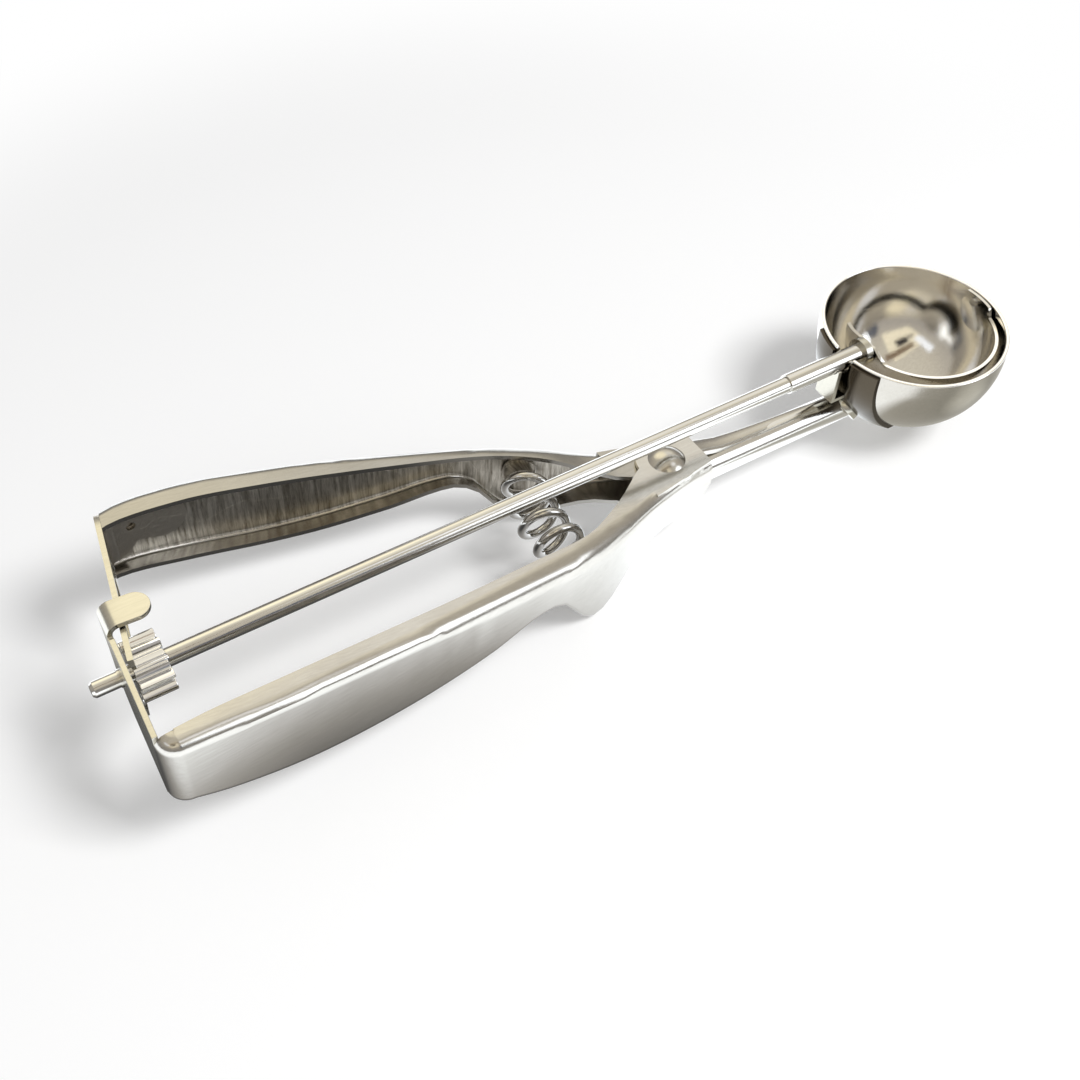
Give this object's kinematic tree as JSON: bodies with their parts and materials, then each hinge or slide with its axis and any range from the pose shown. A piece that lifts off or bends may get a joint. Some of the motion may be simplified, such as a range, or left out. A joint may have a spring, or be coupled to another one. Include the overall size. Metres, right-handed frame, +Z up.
{
  "type": "lever ice cream scoop",
  "caption": "lever ice cream scoop: two sprung channel handles drive a slotted rack and pinion that turn a rod and sweep a thin blade round a steel bowl",
  "frame": {"origin": "on the axis of the drive rod, at the shoulder of the rounded end of its rear stub", "axes": "+X along the drive rod from the handles to the bowl, +Y towards the moving handle, +Z up out of the bowl's mouth"},
  "size_m": [0.203, 0.0563, 0.0342],
  "materials": {
    "polished_steel": "polished stainless steel, fine grinding marks under the polish",
    "bright_steel": "mirror-polished stainless steel",
    "dull_steel": "plain stainless strip, lightly tumbled"
  },
  "bodies": {
    "frame_body": {"fixed_handle": "polished_steel", "stem": "polished_steel", "stem_collar": "dull_steel", "bowl": "bright_steel", "bowl_saddle": "polished_steel", "bearing_bracket": "dull_steel", "front_pin": "polished_steel", "guide_strip": "dull_steel", "pivot_rivet": "polished_steel", "upper_washer": "dull_steel", "lower_washer": "dull_steel", "spring": "bright_steel", "fixed_spring_seat": "dull_steel"},
    "lever_body": {"moving_handle": "polished_steel", "rack_strip": "dull_steel", "moving_spring_seat": "dull_steel"},
    "sweep_body": {"drive_rod": "polished_steel", "rod_sleeve": "polished_steel", "pinion": "bright_steel", "blade_hub": "dull_steel", "sweep_blade": "bright_steel"}
  },
  "joints": [
    {"name": "handle_squeeze", "type": "hinge", "parent": "frame_body", "child": "lever_body", "pos_m": [0.118, 0, -0.012], "axis": [0, 0, 1], "range_deg": [0, 6.35], "stiffness_Nm_per_rad": 0.62, "springref_deg": -4.01, "deforming": ["spring"]},
    {"name": "blade_sweep", "type": "hinge", "parent": "frame_body", "child": "sweep_body", "pos_m": [0, 0, 0], "axis": [1, 0, 0], "range_deg": [0, 144]}
  ],
  "couplings": [
    {"joint": "blade_sweep", "follows": "handle_squeeze", "ratio": 22.66}
  ]
}
